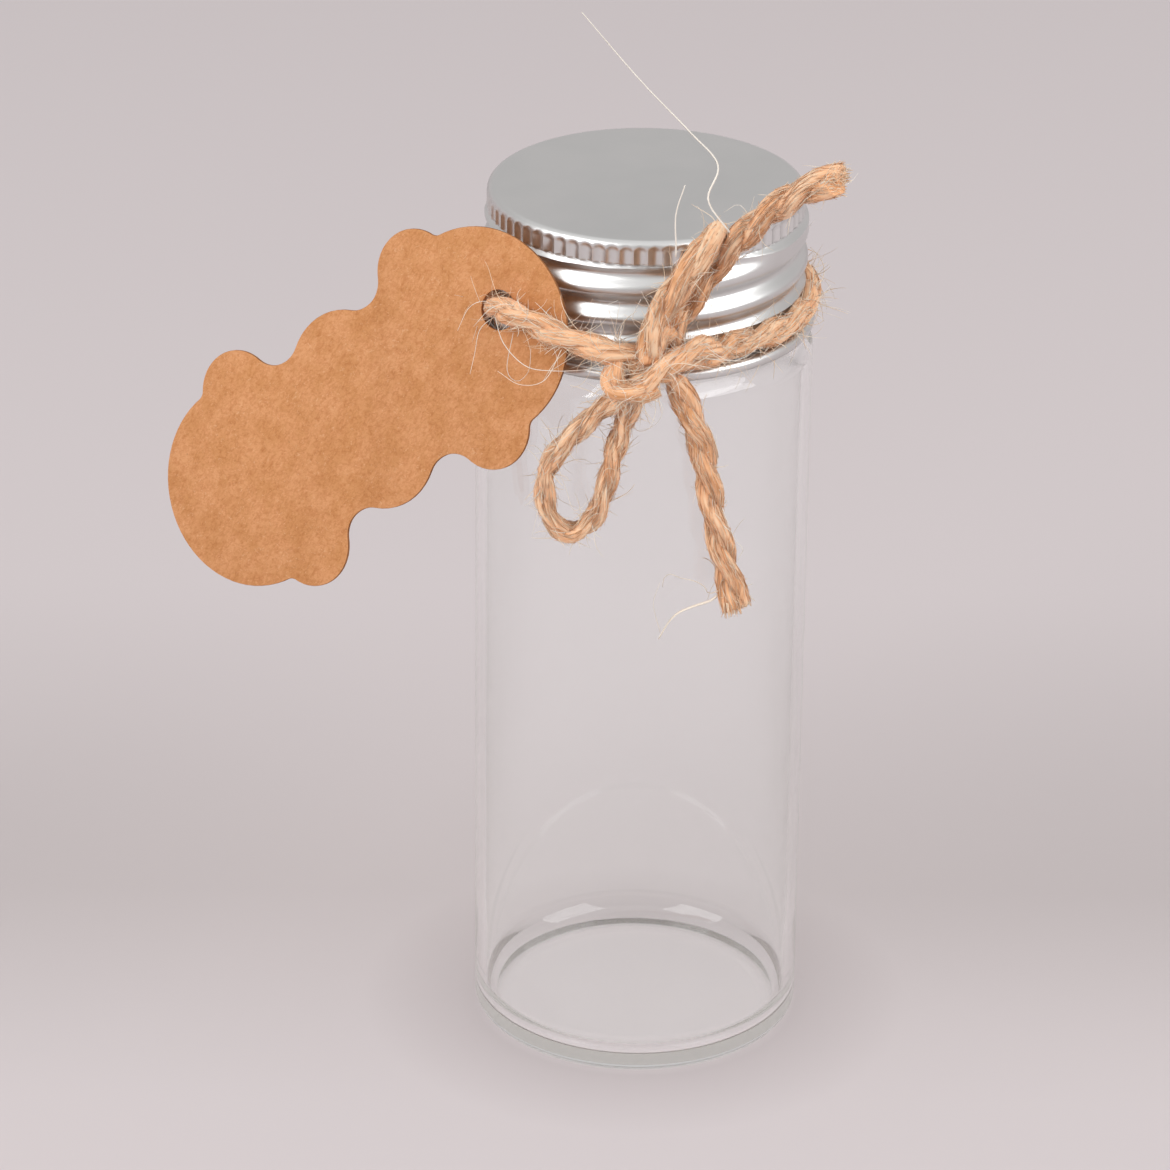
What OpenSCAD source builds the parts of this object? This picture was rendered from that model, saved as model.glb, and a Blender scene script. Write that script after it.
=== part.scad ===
// A glass tube bottle with a rolled aluminium screw cap, a sealing liner, a jute
// twine tied in a bow round the cap, and a wavy card tag for the message.
// Millimetres, +Z up. The origin is the centre of the base and the bow faces -Y.

/* [Bottle] */
// Outside diameter of the glass body
body_d = 47; // [46:0.5:50]
// Height of the glass from the base to the rim of the mouth
glass_h = 126.4; // [100:0.2:160]
// Thickness of the body's wall
wall = 1.6; // [1.2:0.1:2.2]
// Thickness of the floor at its edge
base_t = 1.6; // [1.2:0.2:4]
// How far the inside of the floor domes up in the middle
floor_dome = 0.9; // [0.2:0.1:2]
// Radius of the rounded heel between floor and body
heel_r = 2; // [1.6:0.2:4]

/* [Neck and mouth] */
// Outside diameter of the neck, at the root of its thread
neck_d = 41.3; // [40:0.1:43]
// Thickness of the neck's wall
neck_wall = 1.8; // [1.4:0.1:2.4]
// Height of the neck, from the shoulder's top to the rim
neck_h = 19; // [17:0.5:24]
// Radius of the two rounded edges of the rim
rim_r = 0.6; // [0.3:0.1:0.8]
// How far the glass thread stands out from the neck
thread_h = 0.7; // [0.5:0.05:0.8]
// Rise of the thread in one turn
thread_pitch = 4.3; // [4:0.1:5]
// Turns of thread on the glass
thread_turns = 1.9; // [1.2:0.1:2]

/* [Cap] */
// Height of the cap from the curled lip to the flat top
cap_h = 20; // [19.4:0.2:24]
// Thickness of the aluminium sheet
sheet_t = 0.3; // [0.25:0.05:0.4]
// Thickness of the sealing liner
liner_t = 1.2; // [0.8:0.1:1.8]
// Radius of the rounded edge round the flat top
top_edge_r = 1.1; // [0.8:0.1:1.4]
// Height of the knurled grip band
knurl_h = 3.2; // [2.6:0.1:3.6]
// Number of teeth round the grip band
knurl_count = 72; // [48:2:96]
// Depth of the grip band's teeth
knurl_depth = 0.4; // [0.2:0.05:0.45]
// How far the beads stand out from the plain skirt below them
bead_proud = 0.6; // [0.4:0.05:0.8]
// Turns of the rolled groove that forms the cap's thread
groove_turns = 2.4; // [1.6:0.1:2.5]
// Height of the plain band that the twine lies round
twine_seat_h = 3.9; // [3.2:0.1:5]
// Diameter of the curl along the lip
curl_d = 1.9; // [1.4:0.1:2.4]

/* [Running clearances] */
// Gap between the neck's thread and the inside of the cap
thread_gap = 0.2; // [0.15:0.05:0.4]
// Gap between the cap's rolled ridge and the neck
ridge_gap = 0.3; // [0.2:0.05:0.4]
// Gap above and below the liner
seat_gap = 0.05; // [0.02:0.01:0.1]
// Gap between the card's plane and the cap's upper edge
tag_gap = 0.75; // [0.2:0.05:1]

/* [Tag] */
// Length of the card from end to end
tag_l = 72.8; // [66:0.2:80]
// Width of the card over its four corner waves
tag_w = 35.8; // [34:0.2:40]
// Width of the card over its two middle waves
tag_waist_w = 28.8; // [27:0.2:31]
// Thickness of the card
tag_t = 0.5; // [0.3:0.1:0.8]
// Radius of the two end waves
tag_end_r = 14.4; // [13.5:0.1:15]
// Radius of the four corner waves
tag_corner_r = 6.1; // [5:0.1:7]
// Distance of the corner waves from the middle of the card
tag_corner_x = 17.3; // [16:0.1:18.5]
// Diameter of the punched hole
tag_hole_d = 5.5; // [5:0.25:7]
// Distance of the hole from the near end of the card
tag_hole_inset = 9.8; // [8:0.2:14]
// Distance of the hole from the card's long centre line
tag_hole_off = 0.96; // [-1:0.02:1]
// Height of the hole above the cap's lip
tag_hole_up = 8.5; // [6:0.1:11]
// Turn of the card's face from straight ahead towards the left
tag_yaw = 33; // [25:1:40]
// Lean of the card's top backwards
tag_lean = 15; // [8:1:20]
// Turn of the card in its own plane, raised by the bow
tag_roll = 41.5; // [30:0.5:50]
// Place of the hole along the card's level line, from where the card meets the cap
tag_shift = -6.9; // [-9:0.1:-5]

/* [Twine] */
// Diameter of the jute twine
twine_d = 2.6; // [2:0.1:2.6]

/* [Hidden] */
$fn = 96;
// Overlap of solids that are joined, and overshoot of cutters
eps = 0.05;
// Segments in a turn of thread
thread_segments = 40;

// Radii and heights of the glass
body_r = body_d / 2;
neck_r = neck_d / 2;
bore_r = neck_r - neck_wall;
shoulder_top = glass_h - neck_h;
shoulder_fillet = 0.5;
shoulder_r = body_r - neck_r - shoulder_fillet;
shoulder_bottom = shoulder_top - shoulder_r - shoulder_fillet;
thread_crest_r = neck_r + thread_h;
thread_root_w = 2.6;
thread_crest_w = 0.9;
// How deep the thread's solid is bedded in the neck's wall
thread_bed = 0.4;
// How much rounder the heel is inside than outside, and how low the inner shoulder sits
heel_extra = 2.4;
inner_shoulder_drop = 0.3;
// Heights of the cap, which hangs on the rim through the liner
liner_bottom = glass_h + seat_gap;
cap_ceiling = liner_bottom + liner_t + seat_gap;
cap_top = cap_ceiling + sheet_t;
cap_bottom = cap_top - cap_h;
// Radii of the cap, from the thread outwards
skirt_in_r = thread_crest_r + thread_gap;
skirt_r = skirt_in_r + sheet_t;
bead_r = skirt_r + bead_proud;
ridge_r = neck_r + ridge_gap;
groove_r = ridge_r + sheet_t;
grip_in_r = neck_r + ridge_gap + sheet_t;
knurl_root_r = grip_in_r + sheet_t;
knurl_waist_r = knurl_root_r - 2 * eps;
knurl_r = knurl_root_r + knurl_depth;
// Gap round the liner, and how much thinner it is inside the mouth
liner_side_gap = 0.1;
liner_recess = 0.25;
liner_r = grip_in_r - liner_side_gap;
curl_r = curl_d / 2;
curl_path_r = skirt_r + curl_r - 2 * eps;
// Heights of the cap's bands, from the top down
edge_drop = 0.4;
knurl_lead = 0.3;
bead_drop = 0.9;
knurl_top = cap_top - edge_drop;
knurl_bottom = knurl_top - knurl_h;
bead_top = knurl_bottom - bead_drop;
seat_top = cap_bottom + curl_d + twine_seat_h;
band_slope = 0.5;
// The rolled groove: width at the bead, width at its root, and its height at the front
groove_w = 2.3;
groove_root_w = 0.8;
groove_front_z = knurl_bottom - groove_w / 2 - eps;
// Rounding of the groove's root, and how far the ridge inside is wider than the groove
groove_round = 0.35;
ridge_spread = sheet_t + 0.1;
groove_end_angle = 60;
// The glass thread rides above the cap's ridge by half a turn less this
thread_seat = 0.25;
runout_angle = 40;

function arc(centre, r, a0, a1, steps) =
    [for (i = [0 : steps]) let (a = a0 + (a1 - a0) * i / steps)
        [centre[0] + r * cos(a), centre[1] + r * sin(a)]];

// Helical ridge or cutter: profile points are [radius, height], eased out of the
// way by `retreat` at both ends so that the ridge fades into the wall
module helix(profile, turns, start_angle, start_z, retreat) {
    steps = ceil(turns * thread_segments);
    sides = len(profile);
    function fade(i) = let (a = 360 * turns * min(i, steps - i) / steps)
        retreat * (1 - min(1, a / runout_angle));
    points = [for (i = [0 : steps]) let (a = start_angle + 360 * turns * i / steps)
        for (p = profile) let (r = p[0] + fade(i))
            [r * cos(a), r * sin(a), start_z + thread_pitch * turns * i / steps + p[1]]];
    polyhedron(points = points, convexity = 6, faces = concat(
        [[for (j = [sides - 1 : -1 : 0]) j]],
        [for (i = [0 : steps - 1], j = [0 : sides - 1]) let (k = (j + 1) % sides)
            [(i + 1) * sides + k, (i + 1) * sides + j, i * sides + j]],
        [for (i = [0 : steps - 1], j = [0 : sides - 1]) let (k = (j + 1) % sides)
            [i * sides + k, (i + 1) * sides + k, i * sides + j]],
        [[for (j = [0 : sides - 1]) steps * sides + j]]));
}

// Height of the groove's middle where it passes the front, `turn` turns below the first
function groove_z(turn) = groove_front_z - turn * thread_pitch;
groove_top_angle = -90 + groove_end_angle;
groove_start_angle = groove_top_angle - 360 * groove_turns;
groove_start_z = groove_z(groove_turns) + thread_pitch * groove_end_angle / 360;
// The glass thread starts a little above the groove's lower end
thread_start_z = groove_start_z + thread_pitch / 2 - thread_seat;

module bottle() {
    // Outside from the base up, then the inside back down
    outside = concat(
        [[0, 0]],
        arc([body_r - heel_r, heel_r], heel_r, -90, 0, 8),
        arc([body_r - shoulder_r, shoulder_bottom], shoulder_r, 0, 90, 8),
        arc([neck_r + shoulder_fillet, shoulder_top], shoulder_fillet, 270, 180, 4),
        arc([neck_r - rim_r, glass_h - rim_r], rim_r, 0, 90, 5),
        arc([bore_r + rim_r, glass_h - rim_r], rim_r, 90, 180, 5));
    inner_r = body_r - wall;
    inner_heel = heel_r + heel_extra;
    inner_shoulder = inner_r - bore_r;
    inside = concat(
        arc([bore_r, shoulder_bottom - inner_shoulder * inner_shoulder_drop], inner_shoulder,
            90, 0, 8),
        arc([inner_r - inner_heel, base_t + inner_heel], inner_heel, 0, -90, 8),
        [for (i = [1 : 6]) let (s = 1 - i / 6)
            [(inner_r - inner_heel) * s, base_t + floor_dome * (1 - s * s)]]);
    color("azure", 0.35) {
        rotate_extrude() polygon(concat(outside, inside));
        helix([[neck_r - thread_bed, -thread_root_w / 2], [thread_crest_r, -thread_crest_w / 2],
               [thread_crest_r, thread_crest_w / 2], [neck_r - thread_bed, thread_root_w / 2]],
              thread_turns, groove_start_angle, thread_start_z, -thread_h - thread_bed / 2);
    }
}

// Outside of the cap from the flat top down to the curl, before the thread is rolled in
cap_outside = concat(
    [[0, cap_top]],
    arc([knurl_r - top_edge_r, cap_top - top_edge_r], top_edge_r, 90, 0, 6),
    [[knurl_r, knurl_bottom + knurl_lead], [knurl_waist_r, knurl_bottom],
     [skirt_r, bead_top + band_slope], [bead_r, bead_top], [bead_r, seat_top + band_slope],
     [skirt_r, seat_top], [skirt_r, cap_bottom + curl_r]]);

// The turned sheet with the curled lip
module cap_blank() {
    inner = [
        [skirt_in_r, cap_bottom + curl_r], [skirt_in_r, seat_top],
        [bead_r - sheet_t, seat_top + band_slope], [bead_r - sheet_t, bead_top],
        [skirt_in_r, bead_top + band_slope], [grip_in_r, knurl_bottom],
        [grip_in_r, cap_ceiling], [0, cap_ceiling]];
    rotate_extrude() polygon(concat(cap_outside, inner));
    translate([0, 0, cap_bottom + curl_r])
        rotate_extrude() translate([curl_path_r, 0]) circle(r = curl_r, $fn = 24);
}

// A toothed ring that leaves the grip band's teeth when it is cut away
module knurl_cutter() {
    teeth = [for (i = [0 : 2 * knurl_count - 1])
        let (a = 180 * i / knurl_count, r = i % 2 == 0 ? knurl_r + eps : knurl_root_r)
        [r * cos(a), r * sin(a)]];
    translate([0, 0, knurl_bottom]) linear_extrude(cap_h) difference() {
        circle(r = bead_r + 1);
        polygon(teeth);
    }
}

// The ridge inside the cap, kept within the sheet, and the groove outside it
module cap_shell() {
    flank = groove_w / 2;
    root = groove_root_w / 2;
    wide = flank + ridge_spread;
    narrow = root + ridge_spread / 2;
    bead_in_r = bead_r - sheet_t;
    color("silver") difference() {
        union() {
            cap_blank();
            intersection() {
                helix([[bead_in_r + eps, wide], [skirt_r - 2 * eps, wide - eps],
                       [ridge_r, narrow], [ridge_r, -narrow],
                       [skirt_r - 2 * eps, eps - wide], [bead_in_r + eps, -wide]],
                      groove_turns, groove_start_angle, groove_start_z, bead_in_r + 2 * eps - ridge_r);
                rotate_extrude() polygon(concat([[0, cap_bottom + curl_r]],
                    [for (p = cap_outside) [max(0, p[0] - eps), p[1]]]));
            }
        }
        knurl_cutter();
        helix([[bead_r + 8 * eps, -flank - 4 * eps], [bead_r + 8 * eps, flank + 4 * eps],
               [bead_r - eps, flank], [groove_r + groove_round, root + groove_round],
               [groove_r, root], [groove_r, -root],
               [groove_r + groove_round, -root - groove_round], [bead_r - eps, -flank]],
              groove_turns, groove_start_angle, groove_start_z, bead_r - groove_r + 2 * eps);
    }
}

// The soft disc that seals the rim, a little thinner inside the mouth
module liner() {
    color("white") translate([0, 0, liner_bottom]) difference() {
        cylinder(r = liner_r, h = liner_t);
        translate([0, 0, -liner_t]) cylinder(r = bore_r - rim_r, h = liner_t + liner_recess);
    }
}

// The card's wavy outline: two end waves, four corner waves and two middle waves
module valleys(r) offset(r = -r, $fn = 32) offset(r = r, $fn = 32) children();

module tag_outline() {
    end_x = tag_l / 2 - tag_end_r;
    corner_y = tag_w / 2 - tag_corner_r;
    middle_r = 9;
    end_valley_r = 1.6;
    side_valley_r = 4;
    valleys(end_valley_r) {
        for (x = [-end_x, end_x]) translate([x, 0]) circle(r = tag_end_r, $fn = 72);
        valleys(side_valley_r) {
            square([2 * tag_corner_x, 2 * corner_y], center = true);
            for (x = [-tag_corner_x, tag_corner_x], y = [-corner_y, corner_y])
                translate([x, y]) circle(r = tag_corner_r, $fn = 40);
            for (y = [-1, 1])
                translate([0, y * (tag_waist_w / 2 - middle_r)]) circle(r = middle_r, $fn = 48);
        }
    }
}

// The card leans on the cap's upper edge, so its distance from the axis follows the cap
tag_hole_z = cap_bottom + tag_hole_up;
tag_reach = (knurl_r * cos(tag_lean) + (knurl_top - tag_hole_z) * sin(tag_lean)
    + tag_gap + tag_t / 2) / cos(tag_lean);
tag_place = [
    -tag_reach * sin(tag_yaw) + tag_shift * cos(tag_yaw),
    -tag_reach * cos(tag_yaw) - tag_shift * sin(tag_yaw),
    tag_hole_z];

module tag() {
    color("peru")
        translate(tag_place) rotate([90 - tag_lean, 0, -tag_yaw]) rotate(tag_roll)
        difference() {
            translate([tag_hole_inset - tag_l / 2, -tag_hole_off, -tag_t / 2])
                linear_extrude(tag_t) tag_outline();
            translate([0, 0, -tag_t]) cylinder(d = tag_hole_d, h = 2 * tag_t);
        }
}

// The twine's routes, in points chosen by hand, with heights above the cap's lip.
// The band runs round the cap from the knot's right side, leaves it at the left,
// comes forward through the card's hole and returns to the knot.
band_step = 12;
band_r = (skirt_r + twine_d / 2 + eps) / cos(band_step / 2);
band_z = 4.3;
knot_place = [1, -27.9, 4.7];
band_in = [[2.6, -27.2, 4.9], [7.4, -24.9, 4.7]];
band_round = [for (a = [-60 : band_step : 180]) [band_r * cos(a), band_r * sin(a), band_z]];
band_out = [[-23.6, -4.6, 4.7], [-22.9, -9, 6], [-21.6, -12.8, 7.2], [-20.6, -15.7, 8.1],
    [-19.9, -18.2, 8.7], [-18.9, -20.6, 9.3], [-17.1, -22.6, 9.4], [-14.6, -24.4, 8.9],
    [-11.4, -26.4, 8.2], [-7.9, -28, 7.6], [-4.2, -28.8, 6.9], [-1, -28.6, 6.1]];
lower_loop = [[0.3, -29.2, 3.7], [-1.7, -28.9, 2], [-3.7, -28.1, -0.1], [-6.2, -27.3, -2.1],
    [-8.8, -26.7, -5], [-11.4, -26.2, -8.1], [-13.1, -25.8, -11.2], [-13.6, -25.5, -14.5],
    [-13.2, -25.2, -18.1], [-11.8, -25, -20.7], [-9.9, -24.9, -21.5], [-7.8, -24.9, -20.3],
    [-6.3, -25, -18], [-5.3, -25.2, -14.3], [-4.4, -25.6, -10.1], [-3.4, -25.9, -6.1],
    [-2.2, -26.2, -2.3], [-0.4, -26.4, 1.2], [0.6, -26.5, 3]];
upper_loop = [[0.4, -29.3, 6.2], [0.3, -29.9, 9], [1.4, -30.3, 12.7], [3.1, -30.5, 16.4],
    [5.3, -30.4, 19.6], [7.4, -29.9, 22.6], [8.8, -28.8, 24], [8.7, -27.4, 23],
    [7.2, -27, 20.4], [4.8, -27, 16.8], [2.5, -27, 13], [0.8, -26.9, 9], [0.4, -26.3, 6.2]];
upper_tail = [[2.4, -26.3, 6], [4.2, -25.1, 10.2], [6.2, -24.9, 13.4], [8.2, -25.1, 16.8],
    [10, -26.3, 20], [11.9, -28.3, 23.1], [14, -30.6, 26.3], [16.5, -33.2, 29.7],
    [19.2, -36, 32.6], [21.9, -38.6, 35.1], [24.1, -40.4, 36.5]];
lower_tail = [[3.7, -26.8, 2.6], [4.9, -26.7, -0.2], [6.1, -26.4, -3.3], [7.5, -25.9, -7.5],
    [8.4, -25.5, -11.9], [9, -25.2, -16.3], [9.9, -25.1, -20.6], [11, -25, -24.8],
    [11.9, -25, -28.9], [12.8, -25, -32.2]];

function unit(v) = v / norm(v);
// Direction of a route at one of its points
function heading(path, i) = unit(path[min(i + 1, len(path) - 1)] - path[max(i - 1, 0)]);
// Side directions carried along the route without twist
function carried(path, i = 0, side = [0.1, 0.2, 1]) = i == len(path) ? [] :
    let (d = heading(path, i), s = unit(side - d * (side * d)))
    concat([s], carried(path, i + 1, s));

// A cord of `sides` flats swept along the points of a route
module cord(route, sides = 8) {
    path = [for (p = route) p + [0, 0, cap_bottom]];
    count = len(path);
    across = carried(path);
    points = [for (i = [0 : count - 1]) let (u = across[i], v = cross(heading(path, i), u))
        for (j = [0 : sides - 1]) let (a = 360 * j / sides)
            path[i] + twine_d / 2 * (cos(a) * u + sin(a) * v)];
    polyhedron(points = points, convexity = 8, faces = concat(
        [[for (j = [0 : sides - 1]) j]],
        [for (i = [0 : count - 2], j = [0 : sides - 1]) let (k = (j + 1) % sides)
            [i * sides + j, (i + 1) * sides + j, (i + 1) * sides + k]],
        [for (i = [0 : count - 2], j = [0 : sides - 1]) let (k = (j + 1) % sides)
            [i * sides + j, (i + 1) * sides + k, i * sides + k]],
        [[for (j = [sides - 1 : -1 : 0]) (count - 1) * sides + j]]));
}

module twine_band() color("burlywood") cord(concat(band_in, band_round, band_out));
module twine_lower_loop() color("burlywood") cord(lower_loop);
module twine_upper_loop() color("burlywood") cord(upper_loop);
module twine_upper_tail() color("burlywood") cord(upper_tail);
module twine_lower_tail() color("burlywood") cord(lower_tail);

// The knot: one turn of the twine drawn tight round the middle of the bow
module twine_knot() {
    color("burlywood") translate(knot_place + [0, 0, cap_bottom]) rotate([0, 36, 0]) {
        rotate_extrude($fn = 48) translate([3, 0]) circle(d = twine_d, $fn = 16);
        sphere(r = 2.6, $fn = 32);
    }
}

bottle();
cap_shell();
liner();
tag();
twine_band();
twine_knot();
twine_lower_loop();
twine_upper_loop();
twine_upper_tail();
twine_lower_tail();
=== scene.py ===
"""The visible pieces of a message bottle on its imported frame: a glass tube bottle, a rolled
aluminium screw cap, a kraft card tag and a jute twine tied in a bow."""

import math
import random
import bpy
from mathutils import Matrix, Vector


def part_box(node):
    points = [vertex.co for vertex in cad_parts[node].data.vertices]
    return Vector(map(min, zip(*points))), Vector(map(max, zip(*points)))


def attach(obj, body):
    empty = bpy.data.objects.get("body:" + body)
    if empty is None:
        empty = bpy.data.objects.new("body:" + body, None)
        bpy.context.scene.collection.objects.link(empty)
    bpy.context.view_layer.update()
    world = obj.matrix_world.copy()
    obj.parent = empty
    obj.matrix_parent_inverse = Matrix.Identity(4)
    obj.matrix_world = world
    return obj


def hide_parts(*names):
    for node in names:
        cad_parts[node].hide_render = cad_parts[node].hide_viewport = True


bl_info = {
    "name": "Message Bottle",
    "version": (1, 0, 0),
    "blender": (4, 5, 0),
    "location": "View3D > Sidebar > Bottle",
    "description": "Builds the visible pieces of a message bottle on its packed frame",
    "category": "Add Mesh",
}

import bpy
import numpy as np
from mathutils import Matrix, Vector
from mathutils.noise import noise

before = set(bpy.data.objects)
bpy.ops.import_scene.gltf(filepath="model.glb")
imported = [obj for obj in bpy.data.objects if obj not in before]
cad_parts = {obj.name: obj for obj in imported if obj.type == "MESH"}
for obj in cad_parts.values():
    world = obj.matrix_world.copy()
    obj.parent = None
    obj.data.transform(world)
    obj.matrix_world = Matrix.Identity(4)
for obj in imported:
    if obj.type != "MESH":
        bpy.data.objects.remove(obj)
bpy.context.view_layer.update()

MM = 0.001
BODY_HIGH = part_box("bottle")[1]
CAP_LOW, CAP_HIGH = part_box("cap_shell")
LIP_Z = CAP_LOW[2] / MM
CAP_TOP = CAP_HIGH[2] / MM
GLASS_H = BODY_HIGH[2] / MM
BODY_R = BODY_HIGH[0] / MM

# The threads of cap and glass, in millimetres; both start at the same angle in degrees, and
# fade in and out over a run of degrees
PITCH = 4.3
THREAD_ANGLE, RUNOUT = 186.0, 40
# Turns, depth or height, and half the width of the cap's groove and the glass thread's ridge
GROOVE_TURNS, GROOVE_DEPTH, GROOVE_HALF = 2.4, 1.2, 2.0
RIDGE_TURNS, RIDGE_HEIGHT, RIDGE_HALF = 1.9, 0.7, 1.35
# The grip band ends this far below the cap's top, and the groove about this much lower still
GRIP_LOW = 3.6
GROOVE_DROP = 1.2

# Light that is reflected in the glass more often than this counts as spread out
DEEP_RAY = 4.5
# How much of that light is replaced by a painted grey shade, lit as a matt surface
PAINTED_SHADE_SHARE = 0.74
# How much paler the paper is painted where it is seen through the glass, a painted reflection
PAINTED_HAZE_SHARE = 0.14
# The painted shadow ring on the paper round the heel is drawn inside this radius in millimetres
PAINTED_SHADOW_R = 50.0

# Offset and radius of a ply, as shares of the twine's diameter, and the corners of its section
PLY_OFFSET, PLY_RADIUS, PLY_SIDES = 0.165, 0.345, 14
FIBRE_SIDES = 3
# Fibres that lie in each millimetre of the band and of the bow
BAND_FIBRES, BOW_FIBRES = 11, 18
# Length or step, thickness and tint of the lying fibres, the strays and the long hairs
LYING_RUN, LYING_THICK, LYING_TINT = (4, 12), (0.035, 0.09), (0.0, 0.7)
STRAY_STEP, STRAY_THICK, STRAY_TINT = 0.45, (0.03, 0.065), (0.6, 1.4)
HAIR_TINT = (1.2, 1.7)
# The last millimetres of a bare end, over which its plies part, and the fibres that fan out
OPEN_END, FRAY_COUNT, FRAY_REACH = 8.0, 240, 0.9
# The twine's routes, in millimetres, with heights above the cap's lip
BAND_R = 22.9
BAND_Z = 4.3
# Inside this radius the twine is pressed flat against the cap
PRESS_R = 24.75
# Stray fibres stay outside this radius, clear of the cap and the glass
CLEAR_R = 23.3
BAND_IN = [(2.6, -27.2, 4.9), (7.4, -24.9, 4.7)]
BAND_OUT = [(-23.6, -4.6, 4.7), (-22.9, -9, 6), (-21.6, -12.8, 7.2), (-20.6, -15.7, 8.1),
            (-19.9, -18.2, 8.7), (-18.9, -20.6, 9.3), (-17.1, -22.6, 9.4), (-14.6, -24.4, 8.9),
            (-11.4, -26.4, 8.2), (-7.9, -28, 7.6), (-4.2, -28.8, 6.9), (-1, -28.6, 6.1)]
LOWER_LOOP = [(0.3, -29.2, 3.7), (-1.7, -28.9, 2), (-3.7, -28.1, -0.1), (-6.2, -27.3, -2.1),
              (-8.8, -26.7, -5), (-11.4, -26.2, -8.1), (-13.1, -25.8, -11.2),
              (-13.6, -25.5, -14.5), (-13.2, -25.2, -18.1), (-11.8, -25, -20.7),
              (-9.9, -24.9, -21.5), (-7.8, -24.9, -20.3), (-6.3, -25, -18), (-5.3, -25.2, -14.3),
              (-4.4, -25.6, -10.1), (-3.4, -25.9, -6.1), (-2.2, -26.2, -2.3), (-0.4, -26.4, 1.2),
              (0.6, -26.5, 3)]
UPPER_LOOP = [(0.4, -29.3, 6.2), (0.3, -29.9, 9), (1.4, -30.3, 12.7), (3.1, -30.5, 16.4),
              (5.3, -30.4, 19.6), (7.4, -29.9, 22.6), (8.8, -28.8, 24), (8.7, -27.4, 23),
              (7.2, -27, 20.4), (4.8, -27, 16.8), (2.5, -27, 13), (0.8, -26.9, 9),
              (0.4, -26.3, 6.2)]
UPPER_TAIL = [(2.4, -26.3, 6), (4.2, -25.1, 10.2), (6.2, -24.9, 13.4), (8.2, -25.1, 16.8),
              (10, -26.3, 20), (11.9, -28.3, 23.1), (14, -30.6, 26.3), (16.5, -33.2, 29.7),
              (19.2, -36, 32.6), (21.9, -38.6, 35.1), (24.1, -40.4, 36.5)]
LOWER_TAIL = [(3.7, -26.8, 2.6), (4.9, -26.7, -0.2), (6.1, -26.4, -3.3), (7.5, -25.9, -7.5),
              (8.4, -25.5, -11.9), (9, -25.2, -16.3), (9.9, -25.1, -20.6), (11, -25, -24.8),
              (11.9, -25, -28.9), (12.8, -25, -32.2)]
# The strands of the knot, from the one over the front to the hidden ones
KNOT_STRANDS = [
    [(9.2, -25.6, 6.4), (7.6, -26.9, 7.1), (5.5, -28.6, 7.2), (3.3, -30.1, 6.3), (1, -30.9, 4.6),
     (-0.8, -30.8, 3), (-2.4, -29.6, 1.6)],
    [(-3.2, -27.8, 6), (-4.1, -29, 5.2), (-4.7, -30.3, 4.2), (-4.3, -31.2, 3), (-2.6, -31.7, 2.4),
     (-0.7, -31.5, 2.5), (0.9, -30.5, 3)],
    [(2.7, -29, 10.7), (1.2, -29.2, 8.4), (0, -29, 6.2), (-1.2, -28.6, 4), (-2.2, -28.2, 2)],
    [(-6.4, -28.2, 7.2), (-3.8, -28.3, 6.2), (-1.2, -27.6, 4.8), (1.4, -27.2, 3.8),
     (3.6, -26.9, 3.2)],
]
# Long single fibres that stand off the bow, the tag's stretch and the lower end, each with the
# radius it starts with
LONG_HAIRS = [
    (0.17, [(10.5, -31.8, 25.6), (7.6, -30.9, 29.8), (8.9, -27.5, 33.4), (5.2, -22, 36),
            (-1.4, -16, 41), (-9.2, -12, 49)]),
    (0.15, [(3.5, -31.5, 22), (3.5, -32, 23.8), (3.4, -32.6, 28.4), (4.5, -33, 32.7)]),
    (0.06, [(11.4, -28.3, 23.4), (13.2, -29.4, 26.2), (11.8, -29, 28.4), (9.8, -28.2, 27)]),
    (0.24, [(11.5, -25, -29), (10, -25.5, -30.7), (9, -26, -31.2), (7, -26.3, -31.8),
            (5.4, -26.5, -32.4), (4.3, -26.5, -33.2), (3.3, -26.3, -34.7), (2.2, -26, -37)]),
    (0.09, [(11, -25.5, -29.5), (9, -26, -30), (8.3, -26.5, -28.7), (6.8, -27, -27.6),
            (5, -27, -27.2), (3.5, -27, -26.6), (2.7, -27, -27.4), (2.6, -27, -28.6)]),
    (0.06, [(2.4, -26, -36), (1.6, -26.5, -32.8), (1.4, -27, -30.7), (2.2, -27, -28)]),
    (0.07, [(10.5, -26, -17), (12.2, -26, -21.5), (13.5, -26, -23.2), (13, -26, -24.4),
            (12.8, -26, -25.2)]),
    (0.07, [(-20.5, -20.5, 8.5), (-19.2, -24, 6), (-16.2, -27, 4.1), (-12.6, -28, 3.9),
            (-8.6, -29, 4.5), (-4.7, -30.5, 5.9)]),
    (0.06, [(-18, -23.5, 7.5), (-18.8, -26, 3.3), (-17.5, -27, 1.9), (-15.9, -27.5, 3.6),
            (-15.6, -26.5, 6.5)]),
    (0.06, [(-20.5, -20.3, 8.5), (-22.5, -22.5, 7.5), (-23.2, -23.5, 4.3), (-23.8, -24.5, 1.8)]),
    (0.05, [(-20.3, -20, 9.5), (-22, -21.5, 11.2), (-24, -22.5, 10.6), (-25.5, -23, 7.5)]),
    (0.06, [(-11.5, -28, 7), (-13.7, -29.5, 3.2), (-17, -29.5, 2.5), (-20, -28.5, 4)]),
    (0.05, [(-1, -29.5, 15), (-2.1, -29.7, 12.3), (-0.9, -30, 10.8), (0.5, -30, 10)]),
    (0.05, [(7, -27.5, 8), (11, -29, 6), (14.4, -28, 7.2), (15.3, -26, 9.2)]),
    (0.05, [(0.5, -31, 3), (2.1, -31.5, 0), (1.1, -31, -2.6), (-0.9, -30, -3.8)]),
    (0.05, [(-12.5, -27, -8.5), (-10.7, -27.5, -13.9), (-9.5, -27.5, -17), (-7.2, -26, -15.6)]),
    (0.05, [(-6, -30, 7), (-7.7, -31, 10.4), (-6.4, -31, 14), (-4, -31, 15.5)]),
]


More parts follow.
